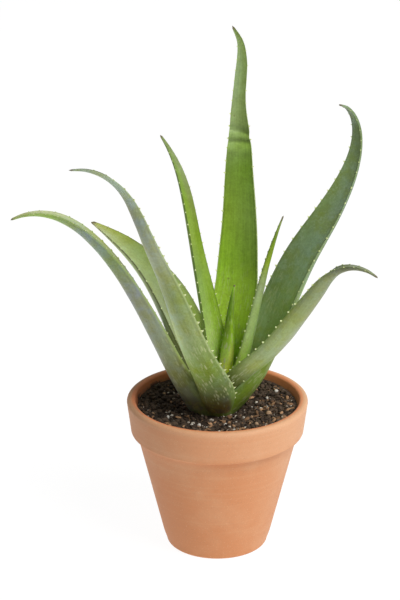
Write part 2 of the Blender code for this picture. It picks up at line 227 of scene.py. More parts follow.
MARGIN_FULLNESS = 0.6  # below 1, a leaf's outer face stays full towards its margins
FIRST_TOOTH = 14.0  # mm from a leaf's base
BARE_TIP = 9.0  # mm without teeth, or more where the tip is dry


def hidden(count, tone):
    """The tone of a leaf's first stations, where other leaves or the soil hide it."""
    return (tone,) * count


# Skin of each leaf: evenly spaced tones from base to tip for the half towards each margin, how far the
# halves fade into each other, how waxy, streaked, patchy and flecked it is, where along the leaf the flecks
# end, the margin line's strength and tone, how stained its base is, the dry tip's length in mm, and the
# teeth's spacing and height in mm.
Skin = namedtuple(
    "Skin", "minus plus fade wax streaks patches spots spot_end margin margin_tone stain dry teeth tooth")
# The tones were fitted to the lit colours, so besides each leaf's own colour they carry painted light and
# shade: stations that lie in other leaves' shade are lifted, some to near white.
SKINS = {
    "leaf_centre_shoot": Skin(
        minus=hidden(3, (0.782, 0.85, 0.0735)) + ((0.782, 0.85, 0.187), (0.445, 0.687, 0.057),
            (0.269, 0.448, 0.0172), (0.204, 0.342, 0.0231), (0.207, 0.326, 0.0523), (0.417, 0.516, 0.114)),
        plus=hidden(3, (0.782, 0.85, 0.152)) + ((0.493, 0.693, 0.119), (0.277, 0.461, 0.0354),
            (0.179, 0.288, 0.0186), (0.129, 0.264, 0.006), (0.135, 0.261, 0.00743), (0.361, 0.732, 0.0414)),
        fade=0.15, wax=0, streaks=0.5, patches=0.1, spots=1, spot_end=0.95, margin=0.7,
        margin_tone=(0.36, 0.5, 0.12), stain=0, dry=1.5, teeth=6, tooth=1.5),
    "leaf_upright_left": Skin(
        minus=hidden(3, (0.468, 0.642, 0.181)) + ((0.326, 0.495, 0.0983), (0.24, 0.372, 0.0726),
            (0.267, 0.39, 0.0563), (0.219, 0.352, 0.0264), (0.217, 0.331, 0.0654), (0.186, 0.247, 0.0834)),
        plus=hidden(3, (0.413, 0.649, 0.0665)) + ((0.258, 0.431, 0.0137), (0.288, 0.444, 0.0459),
            (0.224, 0.361, 0.0151), (0.213, 0.28, 0.0489), (0.271, 0.348, 0.124), (0.25, 0.33, 0.1)),
        fade=0.5, wax=0.1, streaks=0.6, patches=0.2, spots=0.6, spot_end=0.55, margin=0.6,
        margin_tone=(0.07, 0.13, 0.02), stain=0, dry=3, teeth=9, tooth=1.4),
    "leaf_narrow_right": Skin(
        minus=hidden(3, (0.85, 0.85, 0.394)) + ((0.85, 0.85, 0.85), (0.438, 0.617, 0.292),
            (0.339, 0.445, 0.299), (0.125, 0.171, 0.006), (0.295, 0.602, 0.0376), (0.35, 0.45, 0.12)),
        plus=hidden(3, (0.524, 0.714, 0.133)) + ((0.499, 0.678, 0.231), (0.413, 0.564, 0.191),
            (0.366, 0.454, 0.213), (0.293, 0.42, 0.0202), (0.2, 0.323, 0.0168), (0.3, 0.36, 0.12)),
        fade=0.25, wax=0.1, streaks=0.5, patches=0.2, spots=0.5, spot_end=0.5, margin=0.6,
        margin_tone=(0.09, 0.15, 0.03), stain=0, dry=4, teeth=8, tooth=1.8),
    "leaf_tallest": Skin(
        minus=hidden(3, (0.447, 0.668, 0.0582)) + ((0.258, 0.458, 0.0171), (0.198, 0.317, 0.0161),
            (0.16, 0.269, 0.0271), (0.279, 0.379, 0.133), (0.27, 0.37, 0.16), (0.22, 0.31, 0.09)),
        plus=hidden(3, (0.426, 0.665, 0.0474)) + ((0.206, 0.341, 0.026), (0.22, 0.359, 0.0559),
            (0.174, 0.314, 0.02), (0.216, 0.307, 0.0738), (0.24, 0.342, 0.0904), (0.2, 0.28, 0.06)),
        fade=0.8, wax=0.05, streaks=0.9, patches=0.2, spots=0.5, spot_end=0.45, margin=0.7,
        margin_tone=(0.34, 0.44, 0.12), stain=0, dry=4, teeth=10, tooth=1.9),
    "leaf_front_right": Skin(
        minus=hidden(2, (0.232, 0.32, 0.063)) + ((0.453, 0.806, 0.261), (0.45, 0.429, 0.325),
            (0.348, 0.372, 0.275), (0.26, 0.294, 0.132), (0.169, 0.242, 0.135), (0.3, 0.34, 0.18),
            (0.3, 0.34, 0.16)),
        plus=hidden(2, (0.125, 0.147, 0.0123)) + ((0.469, 0.556, 0.18), (0.413, 0.512, 0.232),
            (0.318, 0.372, 0.084), (0.3, 0.359, 0.137), (0.28, 0.328, 0.123), (0.182, 0.195, 0.11),
            (0.35, 0.38, 0.2)),
        fade=0.75, wax=0.5, streaks=0.5, patches=0.7, spots=1, spot_end=0.4, margin=0.5,
        margin_tone=(0.16, 0.24, 0.05), stain=0.55, dry=4, teeth=9.5, tooth=2.3),
    "leaf_tall_right": Skin(
        minus=hidden(3, (0.386, 0.515, 0.169)) + ((0.176, 0.261, 0.0773), (0.163, 0.232, 0.087),
            (0.16, 0.227, 0.055), (0.178, 0.25, 0.0892), (0.198, 0.272, 0.137), (0.265, 0.284, 0.193)),
        plus=hidden(3, (0.221, 0.332, 0.0374)) + ((0.316, 0.464, 0.144), (0.242, 0.348, 0.167),
            (0.209, 0.284, 0.136), (0.213, 0.295, 0.138), (0.163, 0.239, 0.0828), (0.25, 0.33, 0.14)),
        fade=0.8, wax=0.5, streaks=0.4, patches=0.8, spots=0.5, spot_end=0.6, margin=0.6,
        margin_tone=(0.24, 0.32, 0.14), stain=0, dry=4, teeth=11, tooth=2.1),
    "leaf_front_left": Skin(
        minus=((0.42, 0.246, 0.0462), (0.179, 0.231, 0.101), (0.189, 0.272, 0.0257), (0.281, 0.337, 0.092),
            (0.26, 0.332, 0.0935), (0.349, 0.377, 0.189), (0.279, 0.324, 0.217), (0.395, 0.465, 0.273),
            (0.36, 0.42, 0.22)),
        plus=((0.784, 0.85, 0.179), (0.267, 0.317, 0.0467), (0.45, 0.61, 0.119), (0.654, 0.82, 0.372),
            (0.385, 0.468, 0.287), (0.59, 0.655, 0.309), (0.345, 0.327, 0.23), (0.17, 0.2, 0.12),
            (0.25, 0.28, 0.16)),
        fade=0.75, wax=0.6, streaks=0.6, patches=1, spots=1, spot_end=0.5, margin=0.6,
        margin_tone=(0.36, 0.44, 0.2), stain=0.6, dry=3, teeth=9, tooth=2.6),
    "leaf_back_left": Skin(
        minus=hidden(5, (0.389, 0.452, 0.224)) + ((0.407, 0.509, 0.199), (0.452, 0.573, 0.23),
            (0.508, 0.59, 0.27), (0.512, 0.514, 0.179)),
        plus=hidden(7, (0.269, 0.359, 0.0755)) + ((0.393, 0.46, 0.0861), (0.5, 0.55, 0.12)),
        fade=0.8, wax=0.2, streaks=0.4, patches=0.4, spots=0.2, spot_end=0.5, margin=0.8,
        margin_tone=(0.12, 0.13, 0.04), stain=0, dry=4, teeth=12, tooth=1.5),
    "leaf_far_left": Skin(
        minus=((0.566, 0.652, 0.349), (0.293, 0.319, 0.141), (0.293, 0.326, 0.123), (0.309, 0.343, 0.19),
            (0.3, 0.327, 0.273), (0.258, 0.347, 0.138), (0.292, 0.356, 0.267), (0.343, 0.487, 0.0692),
            (0.4, 0.5, 0.15)),
        plus=((0.411, 0.528, 0.589), (0.133, 0.119, 0.084), (0.398, 0.336, 0.296), (0.305, 0.367, 0.294),
            (0.234, 0.259, 0.24), (0.293, 0.335, 0.108), (0.405, 0.479, 0.187), (0.6, 0.618, 0.256),
            (0.55, 0.58, 0.22)),
        fade=0.6, wax=0.5, streaks=0.4, patches=1, spots=0.5, spot_end=0.5, margin=0.6,
        margin_tone=(0.3, 0.4, 0.1), stain=0.3, dry=3, teeth=11, tooth=1.9),
}


class PotSettings(bpy.types.PropertyGroup):
    sides: bpy.props.IntProperty(
        name="Sides", description="Facets round the pot", default=144, min=24, max=512)
    lip_radius: bpy.props.FloatProperty(
        name="Lip rounding", description="Radius of the lip's outer edge", default=2.8 * MM, unit="LENGTH")
    clay: bpy.props.FloatVectorProperty(
        name="Clay", description="Colour of the fired clay", default=(0.73, 0.29, 0.115), subtype="COLOR")
    # Also the tone of the painted sheen on the pot's right and of the painted highlight on its lip.
    clay_pale: bpy.props.FloatVectorProperty(
        name="Dusty clay", description="Colour of the worn, dusty clay", default=(0.82, 0.48, 0.275),
        subtype="COLOR")
    # Also the tone of the painted shade on the inner wall's left and back.
    clay_damp_and_shade: bpy.props.FloatVectorProperty(
        name="Damp clay", description="Colour of the damp inner wall", default=(0.25, 0.090, 0.045),
        subtype="COLOR")


class SoilSettings(bpy.types.PropertyGroup):
    crumbs: bpy.props.IntProperty(
        name="Crumbs", description="Loose crumbs of soil", default=1700, min=0)
    bark: bpy.props.IntProperty(
        name="Bark", description="Chips of bark", default=420, min=0)
    perlite: bpy.props.IntProperty(
        name="Perlite", description="White beads of perlite", default=230, min=0)
    dark: bpy.props.FloatVectorProperty(
        name="Peat", description="Colour of the moist peat", default=(0.027, 0.018, 0.013), subtype="COLOR")
    light: bpy.props.FloatVectorProperty(
        name="Dry peat", description="Colour of the drier crumbs", default=(0.118, 0.080, 0.053),
        subtype="COLOR")


class LeafSettings(bpy.types.PropertyGroup):
    rings: bpy.props.IntProperty(
        name="Rings", description="Rings along each leaf", default=132, min=22, max=400)
    spans: bpy.props.IntProperty(
        name="Spans", description="Spans across each face of a leaf", default=18, min=6, max=64)
    unevenness: bpy.props.FloatProperty(
        name="Unevenness", description="How far the skin swells and dips", default=0.25 * MM, unit="LENGTH")


class StageSettings(bpy.types.PropertyGroup):
    key_power: bpy.props.FloatProperty(
        name="Key light", description="Power of the large light on the right", default=58.0, unit="POWER")
    room_light: bpy.props.FloatProperty(
        name="Room light", description="Strength of the even light from the front and sides", default=0.07)
    backdrop_light: bpy.props.FloatProperty(
        name="Backdrop light", description="Strength of the light from the white backdrop", default=0.50)
    floor_glow: bpy.props.FloatProperty(
        name="Floor glow", description="How brightly the lit floor shines back", default=0.95)
    distance: bpy.props.FloatProperty(
        name="Camera distance", description="From the camera to the middle of the plant", default=1.8,
        unit="LENGTH")
    tilt: bpy.props.FloatProperty(
        name="Camera tilt", description="How far the camera looks down", default=math.radians(20.8),
        subtype="ANGLE")


class Socket:
    """An output of a node; arithmetic on it adds Math nodes."""

    def __init__(self, look, output):
        self.look = look
        self.output = output

    def __add__(self, other):
        return self.look.math("ADD", self, other)

    def __sub__(self, other):
        return self.look.math("SUBTRACT", self, other)

    def __rsub__(self, other):
        return self.look.math("SUBTRACT", other, self)

    def __mul__(self, other):
        return self.look.math("MULTIPLY", self, other)

    def __truediv__(self, other):
        return self.look.math("DIVIDE", self, other)

    def __rtruediv__(self, other):
        return self.look.math("DIVIDE", other, self)

    def __abs__(self):
        return self.look.math("ABSOLUTE", self)

    __radd__ = __add__
    __rmul__ = __mul__


class Nodes:
    """The nodes of a material or of the world."""

    def __init__(self, tree):
        self.tree = tree

    def feed(self, target, value):
        if isinstance(value, Socket):
            self.tree.links.new(value.output, target)
        elif isinstance(value, tuple) and target.type == "RGBA":
            target.default_value = (*value[:3], 1.0)
        else:
            target.default_value = value

    def node(self, kind, settings=None, values=None, output=0):
        """Adds one node: its settings first, then its inputs by name or number."""
        made = self.tree.nodes.new("ShaderNode" + kind)
        for name, value in (settings or {}).items():
            if name == "stops":
                self.place_stops(made.color_ramp, value)
            else:
                setattr(made, name, value)
        for name, value in (values or {}).items():
            if isinstance(name, str):
                target = next(s for s in made.inputs if s.name == name and s.enabled)
            else:
                target = made.inputs[name]
            self.feed(target, value)
        if isinstance(output, str):
            return Socket(self, next(s for s in made.outputs if s.name == output and s.enabled))
        return Socket(self, made.outputs[output])

    def place_stops(self, ramp, stops):
        while len(ramp.elements) < len(stops):
            ramp.elements.new(0.5)
        for element, (place, colour) in zip(ramp.elements, stops):
            element.position = place
            element.color = (*colour, 1.0) if isinstance(colour, tuple) else (colour,) * 3 + (1.0,)

    def math(self, operation, *values):
        return self.node("Math", {"operation": operation}, dict(enumerate(values)))

    def step(self, value, start, end):
        """0 before start and 1 after end, smoothly; start may lie above end."""
        rising = start < end
        return self.node(
            "MapRange", {"interpolation_type": "SMOOTHSTEP"},
            {"Value": value, "From Min": min(start, end), "From Max": max(start, end),
             "To Min": 0.0 if rising else 1.0, "To Max": 1.0 if rising else 0.0})

    def mix(self, factor, first, second):
        """One colour fading into another."""
        return self.node("Mix", {"data_type": "RGBA"}, {"Factor": factor, "A": first, "B": second}, "Result")

    def tinted(self, factor, colour, tint):
        """A colour multiplied by a tint, as far as the factor says."""
        return self.node("Mix", {"data_type": "RGBA", "blend_type": "MULTIPLY"},
                         {"Factor": factor, "A": colour, "B": tint}, "Result")

    def scaled(self, colour, factor):
        """A colour made darker or lighter by a factor."""
        grey = self.node("CombineColor", None, {0: factor, 1: factor, 2: factor})
        return self.tinted(1.0, colour, grey)

    def ramp(self, value, *stops):
        return self.node("ValToRGB", {"stops": stops}, {"Fac": value})

    def object_point(self):
        return self.node("TexCoord", None, None, "Object")

    def attribute(self, name, output="Vector"):
        return self.node("Attribute", {"attribute_name": name}, None, output)

    def parts(self, vector):
        """The X, Y and Z of a vector."""
        made = self.node("SeparateXYZ", None, {0: vector}).output.node
        return tuple(Socket(self, output) for output in made.outputs)

    def vector(self, x, y, z):
        return self.node("CombineXYZ", None, {"X": x, "Y": y, "Z": z})

    def moved(self, vector, location, scale=(1.0, 1.0, 1.0)):
        return self.node("Mapping", None, {"Vector": vector, "Location": location, "Scale": scale})

    def noise(self, vector, scale, detail=3.0, roughness=0.55):
        return self.node("TexNoise", None, {"Vector": vector, "Scale": scale, "Detail": detail,
                                           "Roughness": roughness})

    def cells(self, vector, scale):
        """How far a point lies from the middle of its cell."""
        return self.node("TexVoronoi", None, {"Vector": vector, "Scale": scale}, "Distance")

    def dots(self, vector, scale, edge, core):
        """Scattered round dots: 1 within the core of a cell, 0 beyond the edge."""
        return self.step(self.cells(vector, scale), edge, core)


class Look(Nodes):
    """A material under construction."""

    def __init__(self, name, specular):
        self.material = bpy.data.materials.new(name)
        self.material.use_nodes = True
        super().__init__(self.material.node_tree)
        self.shader = self.tree.nodes["Principled BSDF"]
        self.shader.inputs["Specular IOR Level"].default_value = specular

    def bump(self, height, distance):
        """Raises the surface by a height of 0 to 1 times a distance in metres."""
        made = self.node("Bump", None, {"Height": height, "Distance": distance})
        self.feed(self.shader.inputs["Normal"], made)

    def finish(self, **inputs):
        """Feeds the shader's inputs, whose spaces are written as underscores."""
        for name, value in inputs.items():
            self.feed(self.shader.inputs[name.replace("_", " ")], value)
        return self.material


def deselect_all():
    if bpy.context.object and bpy.context.object.mode != "OBJECT":
        bpy.ops.object.mode_set(mode="OBJECT")
    bpy.ops.object.select_all(action="DESELECT")


def pick(obj):
    """Selects one object and nothing else."""
    deselect_all()
    obj.select_set(True)
    bpy.context.view_layer.objects.active = obj


def edit_all():
    bpy.ops.object.mode_set(mode="EDIT")
    bpy.ops.mesh.select_all(action="SELECT")


def done_editing():
    bpy.ops.object.mode_set(mode="OBJECT")


def face_outwards():
    """Turns all faces of the mesh in edit mode outwards, and leaves edit mode."""
    bpy.ops.mesh.select_all(action="SELECT")
    bpy.ops.mesh.normals_make_consistent(inside=False)
    done_editing()


def new_piece(name, look=None):
    obj = bpy.context.object
    obj.name = name
    obj.data.name = name
    if look:
        obj.data.materials.clear()
        obj.data.materials.append(look)
    return obj


def settle(obj, slot, *nodes):
    """Applies the piece's place to its mesh, then lets it ride and stand for its frame nodes."""
    pick(obj)
    bpy.ops.object.transform_apply(location=True, rotation=True, scale=True)
    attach(obj, BODY)
    if nodes:
        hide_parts(*nodes)


def select_verts(obj, chosen):
    """Selects the vertices that a test picks, with the edges and faces between them."""
    bpy.ops.mesh.select_mode(type="VERT")
    bpy.ops.mesh.select_all(action="DESELECT")
    mould = bmesh.from_edit_mesh(obj.data)
    for vert in mould.verts:
        if chosen(vert.co):
            vert.select = True
    mould.select_flush(True)
    bmesh.update_edit_mesh(obj.data)


def smooth_by_angle(obj, degrees):
    pick(obj)
    bpy.ops.object.shade_smooth_by_angle(angle=math.radians(degrees))


def stamp(joined, shape):
    """Adds a copy of a shape to a mesh under construction, and gives the copy's vertices."""
    start = len(joined.verts)
    joined.from_mesh(shape.data)
    joined.verts.ensure_lookup_table()
    return joined.verts[start:]


def joined_piece(joined, name, look):
    mesh = bpy.data.meshes.new(name)
    joined.to_mesh(mesh)
    joined.free()
    mesh.materials.append(look)
    obj = bpy.data.objects.new(name, mesh)
    bpy.context.scene.collection.objects.link(obj)
    return obj


def drop(shapes):
    for shape in shapes:
        bpy.data.objects.remove(shape)


def arc(centre_radius, centre_height, radius, start, end, count):
    """(radius, height) points of an arc, from one angle to the other, in degrees from outward."""
    points = []
    for step in range(count + 1):
        angle = math.radians(start + (end - start) * step / count)
        points.append((centre_radius + radius * math.cos(angle), centre_height + radius * math.sin(angle)))
    return points


def turn_profile(name, profile, sides, axis, look):
    """Grows a ring through (radius, height) points, each an extrusion that is raised and resized."""
    deselect_all()
    radius, height = profile[0]
    bpy.ops.mesh.primitive_circle_add(vertices=sides, radius=radius, location=(axis.x, axis.y, height))
    obj = new_piece(name, look)
    bpy.ops.object.transform_apply(location=True, rotation=True, scale=True)
    edit_all()
    for (last_radius, last_height), (radius, height) in zip(profile, profile[1:]):
        bpy.ops.mesh.extrude_region_move(TRANSFORM_OT_translate={"value": (0.0, 0.0, height - last_height)})
        swell = radius / last_radius
        bpy.ops.transform.resize(value=(swell, swell, 1.0), center_override=(axis.x, axis.y, height))
    return obj


# Pot

def pot_inner_radius(height):
    """The pot's inside radius, whose wall follows the tapering body."""
    rise = (height - FLOOR_THICKNESS) / (POT_HEIGHT - FLOOR_THICKNESS)
    bottom = FOOT_RADIUS - BODY_WALL + INNER_FLARE
    top = RIM_RADIUS - LIP_WALL
    return bottom + (top - bottom) * rise


def pot_profile(lip):
    """From the drain hole's lower edge, out under the foot, up the outside, over the lip and back."""
    profile = arc(DRAIN_RADIUS + DRAIN_EDGE, DRAIN_EDGE, DRAIN_EDGE, 180, 270, 4)
    profile += [(FLOOR_RING, 0.0), (FOOT_RING, 0.0)]
    profile += arc(FOOT_RADIUS - FOOT_EDGE, FOOT_EDGE, FOOT_EDGE, -90, 0, 8)
    for step in range(1, WALL_RISES):
        height = FOOT_EDGE + (SHOULDER_HEIGHT - 2 * FOOT_EDGE) * (step / WALL_RISES)
        profile.append((FOOT_RADIUS + (NECK_RADIUS - FOOT_RADIUS) * (height / SHOULDER_HEIGHT), height))
    for outward, upward in NECK_FILLET:
        profile.append((NECK_RADIUS + outward * MM, SHOULDER_HEIGHT + upward * MM))
    collar_foot = SHOULDER_HEIGHT + COLLAR_EDGE
    profile += arc(COLLAR_LOWER_RADIUS - COLLAR_EDGE, collar_foot, COLLAR_EDGE, -90, 0, 6)
    for share in (0.25, 0.5, 0.75):
        profile.append((COLLAR_LOWER_RADIUS + (RIM_RADIUS - COLLAR_LOWER_RADIUS) * share,
                        collar_foot + (COLLAR_HEIGHT - COLLAR_EDGE - lip) * share))
    profile += arc(RIM_RADIUS - lip, POT_HEIGHT - lip, lip, 0, 90, 10)
    inner_top = POT_HEIGHT - INNER_LIP_EDGE
    profile += arc(RIM_RADIUS - LIP_WALL + INNER_LIP_EDGE, inner_top, INNER_LIP_EDGE, 90, 180, 10)
    inner_foot = FLOOR_THICKNESS + FLOOR_EDGE
    for step in range(1, WALL_RISES):
        height = inner_top + (inner_foot - inner_top) * step / WALL_RISES
        profile.append((pot_inner_radius(height), height))
    profile += arc(pot_inner_radius(FLOOR_THICKNESS) - FLOOR_EDGE, inner_foot, FLOOR_EDGE, 0, -90, 5)
    profile.append((FLOOR_RING, FLOOR_THICKNESS))
    profile += arc(DRAIN_RADIUS + DRAIN_EDGE, FLOOR_THICKNESS - DRAIN_EDGE, DRAIN_EDGE, 90, 180, 4)
    return profile


def clay_look(pot):
    """Fired clay: dusty in patches and round the collar, with a painted sheen on the right, a painted
    highlight on the lip, painted shade on the left, and inside damp, stained and with painted shade.
    """
    clay, pale, damp_and_shade = tuple(pot.clay), tuple(pot.clay_pale), tuple(pot.clay_damp_and_shade)
    look = Look("fired_clay", specular=0.5)
    point = look.object_point()
    east, north, height = look.parts(look.moved(point, tuple(-POT_AXIS)))
    inside = look.attribute("inside_wall", "Fac")
    outside = 1.0 - inside
    grain = look.noise(point, 900.0, 4.0, 0.65)
    cloud = look.noise(point, 22.0, 4.0, 0.6)
    turning = look.noise(look.vector(east * 6.0, north * 6.0, height * 420.0), 1.0, 3.0, 0.5)
    dust_and_sheen = look.step(cloud, 0.40, 0.74) * 0.30 + look.step(turning, 0.5, 0.75) * 0.12
    # Paler towards the right: painted sheen.
    dust_and_sheen += look.step(east, 5.0 * MM, 75.0 * MM) * 0.35
    dust_and_sheen -= look.step(height, 55.0 * MM, 10.0 * MM) * 0.15
    dust_and_sheen += look.step(height, SHOULDER_HEIGHT - 2.0 * MM, SHOULDER_HEIGHT + 6.0 * MM) * 0.25
    colour = look.mix(dust_and_sheen, clay, pale)
    # Painted highlight: the outer lip paler towards its top.
    lip = look.step(height, POT_HEIGHT - 6.0 * MM, POT_HEIGHT - 1.0 * MM) * outside
    colour = look.mix(lip * 0.45, colour, pale)
    specks = look.dots(point, 700.0, 0.20, 0.10) * look.step(look.noise(point, 160.0, 2.0), 0.50, 0.62)
    colour = look.mix(specks * 0.5, colour, CLAY_PIT)
    motes = look.dots(look.moved(point, (0.3, 0.1, 0.2)), 420.0, 0.16, 0.08)
    colour = look.mix(motes * 0.35, colour, CLAY_MOTE)
    # Painted shade: the outside darker towards the left.
    left_shade = look.step(east, -5.0 * MM, -78.0 * MM) * outside
    colour = look.scaled(colour, 1.0 - left_shade * 0.20)
    colour = look.tinted(inside, colour, INNER_WALL_TINT)
    # Inside, the damp clay colour fades in below the lip and is stronger in stains, with painted shade on
    # the left and back.
    damp = look.step(height, POT_HEIGHT - 2.0 * MM, POT_HEIGHT - 9.0 * MM)
    stain = look.step(look.noise(point, 45.0, 4.0, 0.6), 0.40, 0.62)
    shaded = look.step(east * -0.9 + north * 0.3, -20.0 * MM, 60.0 * MM)
    colour = look.mix(inside * damp * (0.35 + stain * 0.3 + shaded * 0.35), colour, damp_and_shade)
    # Dark peat smudges laid only on the inner wall's left and back: partly smudges, partly painted shade.
    smudge_and_shade = look.step(look.noise(look.moved(point, (0.1, 0.2, 0.0)), 80.0, 4.0, 0.7), 0.50, 0.60)
    below_lip = look.step(height, POT_HEIGHT - 2.0 * MM, POT_HEIGHT - 7.0 * MM)
    colour = look.mix(inside * shaded * smudge_and_shade * below_lip, colour, PEAT_SMUDGE_AND_SHADE)
    look.bump(grain * 0.6 + turning * 0.5 - specks * 0.8, 0.22 * MM)
    return look.finish(Base_Color=look.scaled(colour, grain * 0.22 + 0.88), Roughness=grain * 0.12 + 0.58)


class ALOE_OT_pot(bpy.types.Operator):
    """Turns the terracotta pot, with its rolled lip, collar, rounded foot and drain hole"""

    bl_idname = "aloe.pot"
    bl_label = "Pot"

    def execute(self, context):
        pot = context.scene.aloe_pot
        profile = pot_profile(pot.lip_radius)
        obj = turn_profile("terracotta_pot", profile, pot.sides, POT_AXIS, clay_look(pot))
        select_verts(obj, lambda co: (co - POT_AXIS).xy.length < DRAIN_RADIUS + 0.01 * MM)
        bpy.ops.mesh.bridge_edge_loops()
        bpy.ops.mesh.select_all(action="SELECT")
        bpy.ops.mesh.remove_doubles(threshold=0.01 * MM)
        face_outwards()
        inside = obj.data.attributes.new("inside_wall", "FLOAT", "POINT")
        lip_middle = RIM_RADIUS - LIP_WALL / 2
        for vertex, value in zip(obj.data.vertices, inside.data):
            radius = (vertex.co - POT_AXIS).xy.length
            above_floor = vertex.co.z > FLOOR_THICKNESS - TOUCH
            limit = min(lip_middle, pot_inner_radius(vertex.co.z) + 0.4 * MM)
            near_lip = vertex.co.z > POT_HEIGHT - pot.lip_radius and radius < lip_middle
            value.value = 1.0 if (above_floor and radius < limit) or near_lip else 0.0
        smooth_by_angle(obj, 40)
        settle(obj, "terracotta", "pot")
        return {"FINISHED"}


# Soil

SOIL_RADIUS = pot_inner_radius(SOIL_EDGE_HEIGHT) - SOIL_GAP


def soil_surface(x, y):
    """Height of the crumbly surface at a place measured from the pot's axis: a shallow dish."""
    height = SOIL_EDGE_HEIGHT - SOIL_DISH * (1 - (math.hypot(x, y) / SOIL_RADIUS) ** 2)
    point = Vector((x, y, 0.0))
    lumps = sum(tall * MM * noise.noise(point * fineness) for tall, fineness in SOIL_LUMPS)
    return height + lumps - SOIL_SETTLING


def peat_look(soil):
    look = Look("moist_peat", specular=0.2)
    point = look.object_point()
    coarse = look.noise(point, 180.0, 4.0, 0.65)
    fine = look.noise(point, 900.0, 3.0, 0.6)
    crumb = look.cells(point, 520.0)
    shade = look.step(coarse * 0.6 + fine * 0.4, 0.38, 0.66)
    colour = look.mix(shade, tuple(soil.dark), tuple(soil.light))
    bark = look.dots(look.moved(point, (0.1, 0.3, 0.0)), 330.0, 0.22, 0.12)
    colour = look.mix(bark * look.step(coarse, 0.5, 0.6), colour, BARK_FLECK)
    perlite = look.dots(look.moved(point, (0.5, 0.2, 0.1)), 260.0, 0.17, 0.11)
    colour = look.mix(perlite * look.step(fine, 0.45, 0.55), colour, PERLITE_FLECK)
    look.bump(coarse * 0.6 + crumb * 0.5 + fine * 0.3, 1.2 * MM)
    return look.finish(Base_Color=colour, Roughness=fine * 0.15 + 0.82)


def bits_look(name, dark, light, scale):
    """Loose bits, each a tone of its own between two colours."""
    look = Look(name, specular=0.25)
    tone = look.attribute("bit_tone", "Fac")
    grain = look.noise(look.object_point(), scale, 3.0, 0.6)
    shade = look.step(tone * 0.75 + grain * 0.5, 0.15, 1.05)
    look.bump(grain, 0.3 * MM)
    return look.finish(Base_Color=look.mix(shade, dark, light), Roughness=grain * 0.2 + 0.75)


def leaf_trees():
    """Search trees of the frame's leaves, which loose bits keep clear of."""
    trees = []
    for name in LEAF_NODES:
        mesh = frame["nodes"][name].data
        points = [vertex.co.copy() for vertex in mesh.vertices]
        trees.append(BVHTree.FromPolygons(points, [tuple(face.vertices) for face in mesh.polygons]))
    return trees


def clear_of(trees, point, room):
    for tree in trees:
        near, normal, _, distance = tree.find_nearest(point)
        if distance < room or (point - near).dot(normal) < 0.0 and distance < 25 * MM:
            return False
    return True


def crumb_shapes(name, count, stretch, roughness):
    """A few small irregular lumps, each a subdivided cube of about one unit across."""
    shapes = []
    for index in range(count):
        deselect_all()
        bpy.ops.mesh.primitive_cube_add(size=0.9)
        obj = new_piece(f"{name}_shape_{index}")
        edit_all()
        bpy.ops.mesh.subdivide(number_cuts=1, smoothness=0.9, fractal=roughness, fractal_along_normal=0.2,
                               seed=index + 3)
        bpy.ops.transform.resize(value=stretch)
        done_editing()
        shapes.append(obj)
    return shapes


def scatter(name, shapes, count, sizes, look, seed, trees, sink=0.25, drift=0.0):
    """Lays copies of a few shapes on the soil, joined into one piece, away from the leaves.

    The sizes are biased to the small end, sink is the share of a bit that is buried, and drift gathers
    the bits towards the front and right.
    """
    chance = random.Random(seed)
    joined = bmesh.new()
    tone = joined.verts.layers.float.new("bit_tone")
    laid = 0
    while laid < count:
        size = sizes[0] + (sizes[1] - sizes[0]) * chance.random() ** 2.2
        reach = (SOIL_RADIUS - WALL_CLEARANCE - size / 2) * math.sqrt(chance.random())
        turn = chance.uniform(0, math.tau)
        x, y = reach * math.cos(turn), reach * math.sin(turn)
        point = Vector((x, y, soil_surface(x, y) + size * (0.5 - sink)))
        tilt = Matrix.Rotation(chance.uniform(-0.6, 0.6), 3, "X") @ Matrix.Rotation(
            chance.uniform(-0.6, 0.6), 3, "Y")
        spin = Matrix.Rotation(chance.uniform(0, math.tau), 3, "Z")
        flatness = Matrix.Diagonal((1.0, chance.uniform(0.7, 1.0), chance.uniform(0.6, 0.95)))
        shade = chance.random()
        shape = chance.choice(shapes)
        leaning = 0.5 + (0.35 * x - 0.25 * y) / SOIL_RADIUS + 0.5 * noise.noise(point * 55.0)
        if chance.random() < drift * (1.0 - leaning) or not clear_of(trees, POT_AXIS + point, 0.55 * size):
            continue
        laid += 1
        turned = tilt @ spin @ flatness
        for vert in stamp(joined, shape):
            vert.co = POT_AXIS + point + turned @ (vert.co * size)
            vert[tone] = shade
    return joined_piece(joined, name, look)


class ALOE_OT_soil(bpy.types.Operator):
    """Fills the pot with soil, whose surface is lumpy and a little lower in the middle"""

    bl_idname = "aloe.soil"
    bl_label = "Soil"

    def execute(self, context):
        wall_foot = SOIL_BOTTOM + FLOOR_EDGE
        profile = [
            (FLOOR_RING, SOIL_BOTTOM),
            (pot_inner_radius(FLOOR_THICKNESS) - FLOOR_EDGE - 0.5 * MM, SOIL_BOTTOM),
            (pot_inner_radius(FLOOR_THICKNESS + FLOOR_EDGE) - 0.5 * MM, wall_foot),
        ]
        for step in range(1, SOIL_LEVELS + 1):
            height = wall_foot + (SOIL_EDGE_HEIGHT - wall_foot) * step / SOIL_LEVELS
            profile.append((pot_inner_radius(height) - SOIL_GAP, height))
        for step in range(1, SOIL_RINGS):
            profile.append((SOIL_RADIUS * (1 - step / SOIL_RINGS), SOIL_EDGE_HEIGHT))
        look = peat_look(context.scene.aloe_soil)
        obj = turn_profile("soil_bed", profile, context.scene.aloe_pot.sides, POT_AXIS, look)
        bpy.ops.mesh.merge(type="CENTER")
        select_verts(obj, lambda co: co.z < SOIL_BOTTOM + TOUCH
                     and (co - POT_AXIS).xy.length < FLOOR_RING + TOUCH)
        bpy.ops.mesh.edge_face_add()
        face_outwards()
        for vertex in obj.data.vertices:
            if vertex.co.z > SOIL_EDGE_HEIGHT - TOUCH:
                offset = vertex.co - POT_AXIS
                vertex.co.z = soil_surface(offset.x, offset.y)
        smooth_by_angle(obj, 60)
        settle(obj, "potting_soil", "soil")
        return {"FINISHED"}


